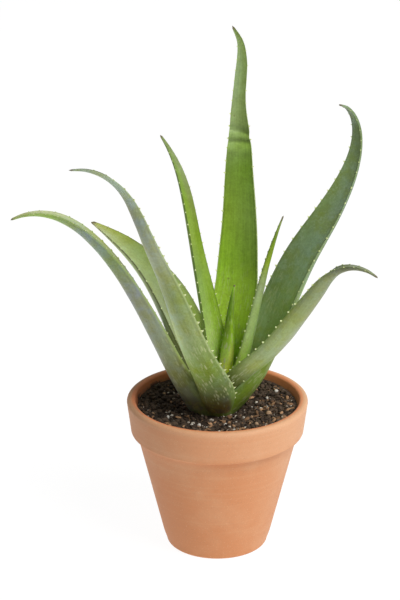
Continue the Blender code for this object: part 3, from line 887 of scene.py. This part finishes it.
class ALOE_OT_loose_bits(bpy.types.Operator):
    """Scatters crumbs of peat, chips of bark and beads of perlite over the soil"""

    bl_idname = "aloe.loose_bits"
    bl_label = "Crumbs, bark and perlite"

    def execute(self, context):
        soil = context.scene.aloe_soil
        trees = leaf_trees()
        lumps = crumb_shapes("lump", 4, (1.0, 0.9, 0.8), 0.5)
        chips = crumb_shapes("chip", 3, (1.0, 0.62, 0.34), 0.6)
        beads = crumb_shapes("bead", 3, (1.0, 0.85, 0.8), 0.5)
        peat = bits_look("peat_crumb", tuple(soil.dark), tuple(soil.light), 700.0)
        bark = bits_look("bark_chip", *BARK, 500.0)
        white = bits_look("perlite", *PERLITE, 600.0)
        crumbs = scatter("peat_crumbs", lumps, soil.crumbs, (0.9 * MM, 3.6 * MM), peat, 5, trees)
        chipped = scatter("bark_chips", chips, soil.bark, (0.8 * MM, 4.2 * MM), bark, 6, trees,
                          sink=0.2, drift=1.1)
        pearls = scatter("perlite_beads", beads, soil.perlite, (0.5 * MM, 2.4 * MM), white, 7, trees,
                         sink=0.15, drift=1.0)
        drop(lumps + chips + beads)
        for obj, slot in ((crumbs, "potting_soil"), (chipped, "grit_tan"), (pearls, "grit_pale")):
            smooth_by_angle(obj, 50)
            settle(obj, slot)
        return {"FINISHED"}


class ALOE_OT_pebbles(bpy.types.Operator):
    """Replaces each bit of grit with a rough pebble of its size and place"""

    bl_idname = "aloe.pebbles"
    bl_label = "Grit pebbles"

    def execute(self, context):
        looks = {
            "grit_tan": bits_look("tan_grit", *TAN_GRIT, 420.0),
            "grit_pale": bits_look("pale_grit", *PALE_GRIT, 420.0),
        }
        for index, node in enumerate(GRIT_NODES):
            low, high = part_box(node)
            deselect_all()
            bpy.ops.mesh.primitive_ico_sphere_add(subdivisions=4, radius=0.5)
            obj = new_piece("pebble_" + node.removeprefix("grit_"), looks[SLOTS[node]])
            tone = obj.data.attributes.new("bit_tone", "FLOAT", "POINT")
            shade = 0.5 + 0.5 * noise.noise(Vector((index * 1.7, 0.3, 0.9)))
            for vertex, value in zip(obj.data.vertices, tone.data):
                seed = vertex.co * 2.1 + Vector((index * 3.7, 0.0, index * 1.9))
                dent = 0.16 * noise.noise(seed) + 0.07 * noise.noise(seed * 3.1)
                dent += 0.03 * noise.noise(seed * 9.0)
                vertex.co *= 0.93 + dent
                value.value = shade
            middle = (low + high) / 2
            obj.data.transform(Matrix.Translation(middle) @ Matrix.Diagonal((*(high - low), 1.0)))
            lowest = min(vertex.co.z for vertex in obj.data.vertices)
            offset = middle - POT_AXIS
            drop_by = lowest - soil_surface(offset.x, offset.y) + 0.5 * MM
            obj.data.transform(Matrix.Translation((0.0, 0.0, -drop_by)))
            smooth_by_angle(obj, 60)
            settle(obj, SLOTS[node], node)
        return {"FINISHED"}


# Leaves

def along(stations, place):
    """The value at a place from 0 to 1, on a smooth curve through evenly spaced stations."""
    last = len(stations) - 1
    scaled = min(max(place, 0.0), 1.0) * last
    index = min(int(scaled), last - 1)
    part = scaled - index
    here, after = stations[index], stations[index + 1]
    before = stations[index - 1] if index > 0 else 2 * here - after
    beyond = stations[index + 2] if index + 2 <= last else 2 * after - here
    slope = after - before
    bend = 2 * before - 5 * here + 4 * after - beyond
    twist = 3 * here - before - 3 * after + beyond
    return here + 0.5 * part * (slope + part * (bend + part * twist))


def leaf_axes(leaf, place):
    """The growing direction, the sideways direction and the inner face's normal at a place."""
    lean = math.radians(along(leaf.lean, place))
    bearing = math.radians(along(leaf.bearing, place))
    sway = math.radians(along(leaf.sway, place))
    outward = Vector((math.cos(bearing), math.sin(bearing), 0.0))
    sideways = Vector((-math.sin(bearing), math.cos(bearing), 0.0))
    growing = math.cos(sway) * (math.sin(lean) * outward + math.cos(lean) * UP)
    growing += math.sin(sway) * sideways
    inner = math.sin(lean) * UP - math.cos(lean) * outward
    inner = Matrix.Rotation(-math.radians(along(leaf.twist, place)), 3, growing) @ inner
    return growing, growing.cross(inner), inner


def leaf_line(leaf):
    """The centres of the leaf's rings, stride by stride from its seat, in the frame's axes."""
    bearing, distance, height = leaf.seat
    turn = Matrix.Rotation(math.radians(bearing), 3, "Z")
    centre = CROWN_AXIS + (turn @ Vector((distance, 0.0, 0.0)) + Vector((0.0, 0.0, height))) * MM
    stride = leaf.length * MM / FRAME_STRIDES
    centres = [centre]
    for ring in range(FRAME_STRIDES):
        centre = centre + leaf_axes(leaf, (ring + 0.5) / FRAME_STRIDES)[0] * stride
        centres.append(centre)
    return centres


def section_point(leaf, place, side, inner_face):
    """(across, inward) of a point of the crescent: side runs from -1 to 1 between the margins."""
    width = max(along(leaf.width, place) * MM, SMALLEST)
    thick = max(along(leaf.thick, place) * MM, SMALLEST)
    curl = math.radians(along(leaf.curl, place))
    radius = width / curl
    far = radius if inner_face else radius + thick * (1 - side * side) ** MARGIN_FULLNESS
    angle = curl / 2 * side
    return far * math.sin(angle), radius - far * math.cos(angle) + thick / 2


def ripple(distance, centre, reach):
    """A smooth hump of height 1 about a distance."""
    return math.exp(-((distance - centre) / reach) ** 2)


def pad_top(side):
    """How far over the crease the folded leaf's pad ends, in mm: lower towards the right-hand margin."""
    return PAD_HEIGHT - PAD_SLANT * side


def fold_lift(leaf, place, side):
    """How far an old kink lifts the folded leaf's blade towards its inner side: a pad over a crease."""
    if leaf.node != FOLDED:
        return 0.0
    over = place * leaf.length - FOLD_AT
    pad = 1.3 * ripple(over, 0.6 * pad_top(side), 2.4)
    above = 1.1 * ripple(over, pad_top(side) + 2.2, 2.4)
    crease = 0.9 * ripple(over, 0.0, 1.9)
    swell = 0.9 * ripple(over, -6.0, 3.6)
    return (pad - above - crease + swell) * MM


def fold_pinch(leaf, place, side):
    """How much narrower the folded leaf is at its crease and above it, mostly on one margin."""
    if leaf.node != FOLDED:
        return 1.0
    over = place * leaf.length - FOLD_AT
    return 1.0 - 0.04 * ripple(over, 12.0, 12.0) - (0.10 if side > 0 else 0.02) * ripple(over, 3.0, 4.0)


def held_in_box(point):
    """The nearest place to a point in the frame's box."""
    lowest, highest = FRAME_BOX
    return Vector([min(max(low, value), high) for low, value, high in zip(lowest, point, highest)])


def inside_box(point):
    return all(low <= value <= high for low, value, high in zip(FRAME_BOX[0], point, FRAME_BOX[1]))


def part_name(leaf, part):
    return f"{leaf.node.removeprefix('leaf_')}_{part}"


def leaf_piece(leaf, settings):
    """A ring of the crescent's points, extruded ring by ring and laid along the leaf's line."""
    spans = settings.spans
    sides = 2 * spans
    rings = settings.rings
    deselect_all()
    bpy.ops.mesh.primitive_circle_add(vertices=sides, radius=1.0)
    obj = new_piece(part_name(leaf, "leaf"))
    edit_all()
    bpy.ops.mesh.extrude_repeat(steps=rings, offset=(0.0, 0.0, 1.0))
    done_editing()
    centres = leaf_line(leaf)
    axes = [leaf_axes(leaf, ring / rings) for ring in range(rings + 1)]
    middles = [along(centres, ring / rings) for ring in range(rings + 1)]
    placed = obj.data.attributes.new("leaf_place", "FLOAT_VECTOR", "POINT")
    seed = Vector((len(leaf.node) * 1.3, leaf.length * 0.01, 0.0))
    for vertex, value in zip(obj.data.vertices, placed.data):
        ring = round(vertex.co.z)
        step = round(math.atan2(vertex.co.y, vertex.co.x) / math.tau * sides) % sides
        inner_face = step <= spans
        part = step / spans if inner_face else (sides - step) / spans
        side = -math.cos(math.pi * part)
        place = ring / rings
        upward = place * leaf.length
        face = math.sqrt(max(0.0, 1 - side * side)) * (1 if inner_face else -1)
        _, sideways, inner = axes[ring]
        if ring == rings:
            vertex.co = middles[ring]
        else:
            across, inward = section_point(leaf, place, side, inner_face)
            swell = noise.noise(Vector((side * 1.6, upward / 18.0, inner_face * 4.0)) + seed)
            swell += 0.5 * noise.noise(Vector((side * 5.0, upward / 30.0, inner_face * 7.0)) + seed)
            inward += face * swell * min(1.0, (1 - place) * 6) * settings.unevenness
            inward += fold_lift(leaf, place, side)
            vertex.co = middles[ring] + across * fold_pinch(leaf, place, side) * sideways + inward * inner
        value.vector = (side, upward * MM, face)
    edit_all()
    bpy.ops.mesh.remove_doubles(threshold=0.001 * MM)
    select_verts(obj, lambda co: (co - centres[0]).dot(axes[0][0]) < 0.01 * MM)
    bpy.ops.mesh.edge_face_add()
    face_outwards()
    for vertex in obj.data.vertices:
        vertex.co = held_in_box(vertex.co)
    smooth_by_angle(obj, 50)
    return obj


def fold_shade(look, across, up):
    """Painted light and shade round the kink: a painted highlight on the swell and pad, painted shade in the
    crease and above the pad.
    """
    over = up + across * (0.5 * MM) - FOLD_AT * MM
    beyond = up + across * (PAD_SLANT * MM) - (FOLD_AT + PAD_HEIGHT) * MM
    crease = look.step(over, -1.9 * MM, -0.3 * MM) * look.step(over, 1.9 * MM, 0.3 * MM)
    swell = look.step(over, -12.0 * MM, -5.0 * MM) * look.step(over, -0.6 * MM, -2.6 * MM)
    pad = look.step(over, 1.2 * MM, 3.4 * MM) * look.step(beyond, 0.2 * MM, -0.8 * MM)
    shade_above_pad = look.step(beyond, -0.4 * MM, 1.0 * MM) * look.step(beyond, 8.0 * MM, 1.5 * MM)
    return swell * 0.32 + pad * 0.22 - crease * 0.14 - shade_above_pad * (across * 0.18 + 0.24)


def skin_look(leaf, skin):
    """A leaf's skin, from its tones up, which also carry painted light and shade: streaks, patches, wax,
    flecks, stains, painted light and shade round a kink, margins and a dry tip.
    """
    look = Look(part_name(leaf, "skin"), specular=0.3)
    look.shader.inputs["Subsurface Weight"].default_value = 0.06
    look.shader.inputs["Subsurface Radius"].default_value = (0.35, 0.6, 0.12)
    look.shader.inputs["Subsurface Scale"].default_value = 3.0 * MM
    across, up, face = look.parts(look.attribute("leaf_place"))
    point = look.object_point()
    length = leaf.length * MM
    halves = []
    for tones in (skin.minus, skin.plus):
        last = len(tones) - 1
        stops = [(index / last, tone) for index, tone in enumerate(tones)]
        halves.append(look.ramp(up / length, *stops))
    colour = look.mix(look.step(across, -skin.fade, skin.fade), *halves)
    fibres = look.noise(look.vector(across * 30.0, up * 22.0, face * 2.0), 1.0, 2.0, 0.5)
    bands = look.noise(look.vector(across * 6.0, up * 12.0, face * 2.0), 1.0, 3.0, 0.55)
    patches = look.noise(look.moved(point, (0.4, 0.2, 0.6)), 42.0, 3.0, 0.6)
    mottle = look.noise(point, 130.0, 4.0, 0.65)
    pores = look.noise(point, 620.0, 3.0, 0.65)
    streak = (fibres - 0.5) * (0.5 * skin.streaks) + (bands - 0.5) * (0.6 * skin.streaks)
    shade = streak + (mottle - 0.5) * 0.6 + (pores - 0.5) * 0.6 + (patches - 0.5) * (0.6 * skin.patches)
    colour = look.scaled(colour, shade + 1.0)
    blotch = patches * 0.6 + mottle * 0.4
    colour = look.tinted(look.step(blotch, 0.44, 0.58) * (0.8 * skin.patches), colour, COOL_TINT)
    colour = look.tinted(look.step(blotch, 0.52, 0.38) * (0.8 * skin.patches), colour, WARM_TINT)
    bloom = look.step(mottle * 0.5 + pores * 0.5, 0.50, 0.64) * skin.wax
    colour = look.mix(bloom * 0.35, colour, WAX_BLOOM)
    grooves = look.vector(across * (0.34 * max(leaf.width)), up * 135.0, face * 1.5)
    gathered = look.step(look.noise(look.moved(grooves, (3.1, 7.7, 1.3)), 0.30, 2.0), 0.38, 0.54)
    flecks = look.dots(grooves, 1.0, 0.46, 0.26) * gathered
    flecks *= look.step(up / length, skin.spot_end, skin.spot_end * 0.3)
    colour = look.mix(flecks * (0.85 * skin.spots), colour, PALE_SPOT)
    stained = look.step(up + (patches - 0.5) * 0.03, 42.0 * MM, 8.0 * MM) * look.step(mottle, 0.36, 0.56)
    colour = look.mix(stained * skin.stain, colour, BASE_STAIN)
    # Painted light and shade round the folded leaf's kink.
    if leaf.node == FOLDED:
        colour = look.scaled(colour, fold_shade(look, across, up) + 1.0)
    edge = abs(across)
    lowest = look.step(look.parts(point)[2], 125.5 * MM, 122.5 * MM)
    lowest *= look.step(edge, 0.0, 0.4) * 0.5 + 0.5
    colour = look.mix(lowest * (1.3 * skin.stain), colour, YOUNG_BASE)
    hem = look.step(across, -0.66, -0.84) * look.step(up, 52.0 * MM, 30.0 * MM)
    colour = look.mix(hem * (1.2 * skin.stain), colour, YOUNG_HEM)
    shadow_line = look.step(edge, 0.84, 0.93) * look.step(edge, 0.99, 0.95)
    colour = look.scaled(colour, 1.0 - shadow_line * 0.18)
    rim = look.step(edge, 0.955, 0.99) * skin.margin
    colour = look.mix(rim, colour, skin.margin_tone)
    scars = look.dots(look.moved(point, (0.7, 0.2, 0.4)), 85.0, 0.11, 0.05) * look.step(mottle, 0.5, 0.6)
    colour = look.mix(scars * 0.6, colour, SCAR)
    dry = look.step(up + (mottle - 0.5) * 0.006, length - 1.5 * skin.dry * MM, length - 0.5 * skin.dry * MM)
    colour = look.mix(dry * 0.85, colour, DRY_TIP)
    look.bump(fibres * 0.5 + mottle * 0.4 + pores * 0.35 + flecks * 0.3, 0.30 * MM)
    return look.finish(Base_Color=colour, Roughness=mottle * 0.2 + dry * 0.3 + 0.34)


def tooth_look():
    look = Look("tooth", specular=0.4)
    rise = look.attribute("tooth_rise", "Fac")
    grain = look.noise(look.object_point(), 900.0, 2.0)
    colour = look.mix(look.step(rise, 0.05, 0.40), TOOTH_ROOT, TOOTH_PALE)
    colour = look.mix(look.step(rise + grain * 0.2, 0.84, 1.0), colour, TOOTH_TIP)
    look.bump(grain, 0.05 * MM)
    return look.finish(Base_Color=colour, Roughness=grain * 0.15 + 0.4)


def tooth_shape():
    """One broad-based tooth of unit height, hooked a little towards +X, standing on the origin."""
    deselect_all()
    bpy.ops.mesh.primitive_cone_add(vertices=8, radius1=0.55, radius2=0.0, depth=1.0, location=(0, 0, 0.5))
    obj = new_piece("tooth_shape")
    bpy.ops.object.transform_apply(location=True, rotation=True, scale=True)
    edit_all()
    for height in (0.35, 0.7):
        bpy.ops.mesh.select_all(action="SELECT")
        bpy.ops.mesh.bisect(plane_co=(0, 0, height), plane_no=(0, 0, 1))
    bpy.ops.mesh.select_all(action="SELECT")
    bpy.ops.transform.resize(value=(1.0, 0.55, 1.0), center_override=(0, 0, 0))
    done_editing()
    for vertex in obj.data.vertices:
        height = vertex.co.z
        vertex.co.x = vertex.co.x * (1 - 0.35 * height * (1 - height)) + 0.45 * height * height
        vertex.co.z = height - 0.12
    return obj


def teeth_piece(leaf, skin, shape, look):
    """Teeth along both margins of a leaf, smaller towards its tip, each pointing away from the blade."""
    chance = random.Random(leaf.node)
    centres = leaf_line(leaf)
    joined = bmesh.new()
    rise = joined.verts.layers.float.new("tooth_rise")
    for side in (-1, 1):
        distance = FIRST_TOOTH + chance.uniform(0, skin.teeth)
        while distance < leaf.length - max(BARE_TIP, 2.2 * skin.dry):
            place = distance / leaf.length
            growing, sideways, inner = leaf_axes(leaf, place)
            across, inward = section_point(leaf, place, side, True)
            half = math.radians(along(leaf.curl, place)) / 2
            outward = (side * math.cos(half) * sideways + math.sin(half) * inner).normalized()
            flat = growing.cross(outward).normalized()
            youth = min(1.0, (leaf.length - distance) / (0.35 * leaf.length)) * 0.5 + 0.5
            size = skin.tooth * youth * chance.uniform(0.8, 1.15) * MM
            root = along(centres, place) + across * sideways + inward * inner
            distance += skin.teeth * chance.uniform(0.75, 1.25)
            if not inside_box(root + size * outward):
                continue
            for vert in stamp(joined, shape):
                local = vert.co.copy()
                vert.co = root + size * (local.x * growing + local.y * flat + local.z * outward)
                vert[rise] = max(0.0, local.z)
    bmesh.ops.recalc_face_normals(joined, faces=joined.faces)
    return joined_piece(joined, part_name(leaf, "teeth"), look)


class ALOE_OT_leaves(bpy.types.Operator):
    """Grows the nine leaves, each with its own skin"""

    bl_idname = "aloe.leaves"
    bl_label = "Leaves"

    def execute(self, context):
        for leaf in LEAVES:
            obj = leaf_piece(leaf, context.scene.aloe_leaf)
            obj.data.materials.append(skin_look(leaf, SKINS[leaf.node]))
            settle(obj, SLOTS[leaf.node], leaf.node)
        return {"FINISHED"}


class ALOE_OT_teeth(bpy.types.Operator):
    """Sets the small pale teeth along both margins of every leaf"""

    bl_idname = "aloe.teeth"
    bl_label = "Teeth"

    def execute(self, context):
        shape = tooth_shape()
        look = tooth_look()
        for leaf in LEAVES:
            obj = teeth_piece(leaf, SKINS[leaf.node], shape, look)
            smooth_by_angle(obj, 60)
            settle(obj, SLOTS[leaf.node])
        drop([shape])
        return {"FINISHED"}


# Crown and roots, carried over from the frame

def fibrous_look(name, tones, specular, grain, relief, roughness):
    """Bark or root: lines drawn out along the axes where the grain's scale is small."""
    look = Look(name, specular=specular)
    lines = look.noise(look.moved(look.object_point(), (0, 0, 0), grain), 1.0, 3.0)
    look.bump(lines, relief)
    colour = look.ramp(lines, (0.3, tones[0]), (0.7, tones[1]))
    return look.finish(Base_Color=colour, Roughness=lines * 0.2 + roughness)


class ALOE_OT_crown(bpy.types.Operator):
    """Finishes the frame's crown and roots with bark-like and fibrous skins"""

    bl_idname = "aloe.crown"
    bl_label = "Crown and roots"

    def execute(self, context):
        crown = fibrous_look("crown_skin", CROWN_BARK, 0.3, (60.0, 60.0, 420.0), 0.6 * MM, 0.6)
        root = fibrous_look("root_skin", ROOT_FIBRE, 0.2, (420.0, 420.0, 90.0), 0.4 * MM, 0.7)
        for node, look in [("stem", crown)] + [(name, root) for name in ROOT_NODES]:
            obj = frame["nodes"][node]
            for slot in obj.material_slots:
                slot.material = look
        return {"FINISHED"}


# Stage

CAMERA_AIM = Vector((5.9, 3.4, 218.0)) * MM
CAMERA_LENS = 130.8  # mm, on a 36 mm sensor
KEY_OFFSET = Vector((1.22, -1.10, 1.88))  # from the aim to the key light
KEY_SIZE = 1.6
FLOOR_RADIUS = 6.0
WHITE = (1.0, 1.0, 1.0, 1.0)


def aimed(name, data, place, target):
    """Places a light or a camera so that it looks at its target."""
    obj = bpy.data.objects.new(name, data)
    bpy.context.scene.collection.objects.link(obj)
    obj.location = place
    obj.rotation_euler = (target - place).to_track_quat("-Z", "Y").to_euler()
    return obj


def studio_world(front, back):
    """White as the camera sees it; as a light, brighter from the backdrop's side than from the front."""
    world = bpy.data.worlds.new("studio")
    world.use_nodes = True
    nodes = Nodes(world.node_tree)
    lighting = nodes.tree.nodes["Background"]
    northward = nodes.parts(nodes.node("TexCoord", None, None, "Generated"))[1]
    strength = nodes.node("MapRange", None, {"Value": northward, "From Min": -0.3, "From Max": 0.7,
                                             "To Min": front, "To Max": back})
    nodes.feed(lighting.inputs["Color"], WHITE)
    nodes.feed(lighting.inputs["Strength"], strength)
    seen = nodes.node("Background", None, {"Color": WHITE})
    by_camera = nodes.node("LightPath", None, None, "Is Camera Ray")
    mixed = nodes.node("MixShader", None, {0: by_camera, 1: Socket(nodes, lighting.outputs[0]), 2: seen})
    nodes.feed(nodes.tree.nodes["World Output"].inputs["Surface"], mixed)
    return world


class ALOE_OT_stage(bpy.types.Operator):
    """Lays a plain pale floor, soft studio light and the camera"""

    bl_idname = "aloe.stage"
    bl_label = "Stage"

    def execute(self, context):
        stage = context.scene.aloe_stage
        scene = context.scene
        deselect_all()
        bpy.ops.mesh.primitive_circle_add(vertices=96, radius=FLOOR_RADIUS, fill_type="NGON")
        floor = new_piece("studio_floor")
        look = Look("floor_paper", specular=0.1)
        grain = look.noise(look.object_point(), 300.0, 2.0)
        look.finish(Base_Color=look.ramp(grain, (0.0, 0.10), (1.0, 0.13)), Roughness=0.9)
        look.finish(Emission_Color=WHITE, Emission_Strength=stage.floor_glow)
        floor.data.materials.append(look.material)

        scene.world = studio_world(stage.room_light, stage.backdrop_light)

        light = bpy.data.lights.new("key_light", "AREA")
        light.shape = "DISK"
        light.size = KEY_SIZE
        light.energy = stage.key_power
        aimed("key_light", light, CAMERA_AIM + KEY_OFFSET, CAMERA_AIM)

        lens = bpy.data.cameras.new("camera")
        lens.sensor_width = 36.0
        lens.lens = CAMERA_LENS
        lens.clip_start = 0.1
        lens.clip_end = 50.0
        back = Vector((0.0, -math.cos(stage.tilt), math.sin(stage.tilt)))
        scene.camera = aimed("camera", lens, CAMERA_AIM + stage.distance * back, CAMERA_AIM)
        scene.view_settings.view_transform = "Standard"
        return {"FINISHED"}


STEPS = (ALOE_OT_pot, ALOE_OT_soil, ALOE_OT_loose_bits, ALOE_OT_pebbles, ALOE_OT_leaves, ALOE_OT_teeth,
         ALOE_OT_crown, ALOE_OT_stage)
SETTINGS = {"aloe_pot": PotSettings, "aloe_soil": SoilSettings, "aloe_leaf": LeafSettings,
            "aloe_stage": StageSettings}


class ALOE_PT_panel(bpy.types.Panel):
    """Lists the pieces and their settings"""

    bl_idname = "ALOE_PT_panel"
    bl_label = "Potted Aloe"
    bl_space_type = "VIEW_3D"
    bl_region_type = "UI"
    bl_category = "Aloe"

    def draw(self, context):
        for step in STEPS:
            self.layout.operator(step.bl_idname)
        for name, group in SETTINGS.items():
            box = self.layout.box()
            for field in group.__annotations__:
                box.prop(getattr(context.scene, name), field)


def register():
    for group in SETTINGS.values():
        bpy.utils.register_class(group)
    for name, group in SETTINGS.items():
        setattr(bpy.types.Scene, name, bpy.props.PointerProperty(type=group))
    for step in STEPS:
        bpy.utils.register_class(step)
    bpy.utils.register_class(ALOE_PT_panel)


def unregister():
    bpy.utils.unregister_class(ALOE_PT_panel)
    for step in reversed(STEPS):
        bpy.utils.unregister_class(step)
    for name, group in SETTINGS.items():
        delattr(bpy.types.Scene, name)
        bpy.utils.unregister_class(group)


def main():
    register()
    bpy.ops.aloe.pot()
    bpy.ops.aloe.soil()
    bpy.ops.aloe.loose_bits()
    bpy.ops.aloe.pebbles()
    bpy.ops.aloe.leaves()
    bpy.ops.aloe.teeth()
    bpy.ops.aloe.crown()
    bpy.ops.aloe.stage()


if __name__ == "__main__":
    main()
